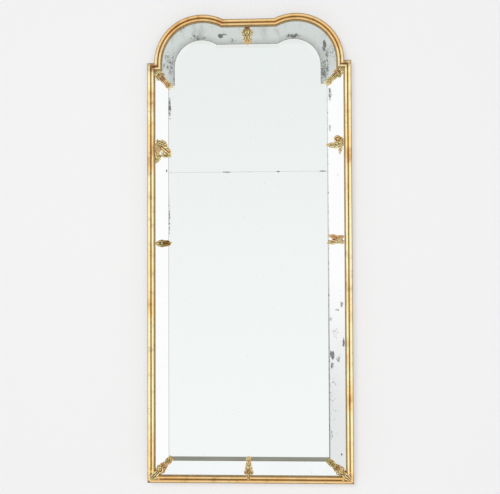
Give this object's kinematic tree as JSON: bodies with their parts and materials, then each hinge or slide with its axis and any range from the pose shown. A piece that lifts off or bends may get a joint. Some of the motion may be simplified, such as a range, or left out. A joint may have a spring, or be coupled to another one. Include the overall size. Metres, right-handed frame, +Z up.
{
  "type": "pier mirror",
  "caption": "Tall wall-hung mirror with a double-arched crest, a bevelled centre glass, a border of narrow glass slips, gilt mouldings and carved leaf clasps.",
  "frame": {"origin": "the wall nail that the raised ring hangs from, in the plane of the wall behind the mirror", "axes": "+X to the viewer's right, +Z up, +Y into the wall; the mirror faces -Y and all of it lies at Y 0 or less"},
  "size_m": [0.7, 0.0522, 1.6],
  "materials": {
    "gilt_moulding": "water gilding over red-brown bole on turned and run pine mouldings, rubbed on the beads and dark in the groove",
    "gilt_carving": "gilded carved wood, brighter on the ridges, brown in the hollows",
    "gilt_pins": "small gilded nails, dulled",
    "centre_mirror": "silvered bevelled plate, lightly grey",
    "border_mirror": "old silvered slips with dark foxing",
    "pine_frame": "old planed pine, oxidised brown, ochre wash on the outer sides",
    "pine_boards": "old sawn pine boards, dry and dusty brown",
    "iron": "black forged iron with brown rust"
  },
  "bodies": {
    "mirror": {"left_stile": "pine_frame", "right_stile": "pine_frame", "bottom_rail": "pine_frame", "crest_rail": "pine_frame", "left_board": "pine_boards", "centre_board": "pine_boards", "right_board": "pine_boards", "upper_batten": "pine_frame", "middle_batten": "pine_frame", "lower_batten": "pine_frame", "glue_blocks": "pine_frame", "joint_pegs": "pine_frame", "batten_nails": "iron", "ledge_nails": "iron", "centre_upper_plate": "centre_mirror", "centre_lower_plate": "centre_mirror", "top_left_slip": "border_mirror", "top_right_slip": "border_mirror", "upper_left_slip": "border_mirror", "upper_right_slip": "border_mirror", "middle_left_slip": "border_mirror", "middle_right_slip": "border_mirror", "lower_left_slip": "border_mirror", "lower_right_slip": "border_mirror", "bottom_left_slip": "border_mirror", "bottom_right_slip": "border_mirror", "left_moulding": "gilt_moulding", "right_moulding": "gilt_moulding", "bottom_moulding": "gilt_moulding", "left_shoulder_moulding": "gilt_moulding", "right_shoulder_moulding": "gilt_moulding", "left_arch_moulding": "gilt_moulding", "right_arch_moulding": "gilt_moulding", "crest_moulding": "gilt_moulding", "top_clasp": "gilt_carving", "bottom_clasp": "gilt_carving", "left_shoulder_clasp": "gilt_carving", "right_shoulder_clasp": "gilt_carving", "upper_left_clasp": "gilt_carving", "upper_right_clasp": "gilt_carving", "middle_left_clasp": "gilt_carving", "middle_right_clasp": "gilt_carving", "left_corner_clasp": "gilt_carving", "right_corner_clasp": "gilt_carving", "clasp_pins": "gilt_pins", "hanger_plate": "iron", "hanger_nails": "iron"},
    "ring": {"hanger_ring": "iron"}
  },
  "joints": [
    {"name": "ring_swing", "type": "hinge", "parent": "mirror", "child": "ring", "pos_m": [0, -0.0065, -0.0315], "axis": [1, 0, 0], "range_deg": [-3, 190]}
  ]
}
